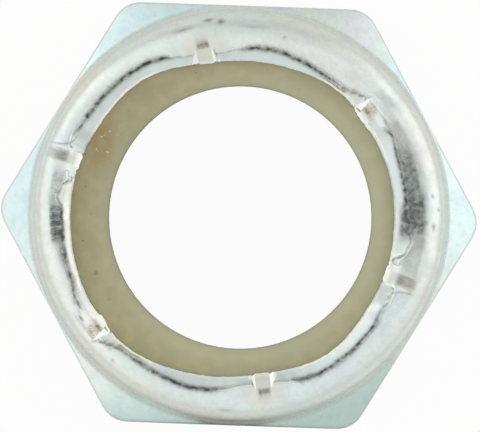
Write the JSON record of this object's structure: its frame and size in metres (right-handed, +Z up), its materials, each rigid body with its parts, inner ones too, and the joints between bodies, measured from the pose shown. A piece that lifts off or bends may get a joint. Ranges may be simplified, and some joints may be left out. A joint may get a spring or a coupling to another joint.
{
  "type": "nylon insert lock nut",
  "caption": "Hexagonal lock nut in zinc-plated steel, with a nylon ring held under a rolled and staked collar that grips the bolt's thread.",
  "frame": {"origin": "centre of the bearing face, where the bolt enters", "axes": "+Z up the bore from the bearing face towards the insert; +X through a corner of the hexagon; +Y square to a flat"},
  "size_m": [0.0306, 0.027, 0.0222],
  "materials": {
    "zinc_plated_steel": "satin",
    "natural_nylon": "satin"
  },
  "bodies": {
    "root": {"nut_body": "zinc_plated_steel", "nylon_insert": "natural_nylon"}
  },
  "joints": []
}
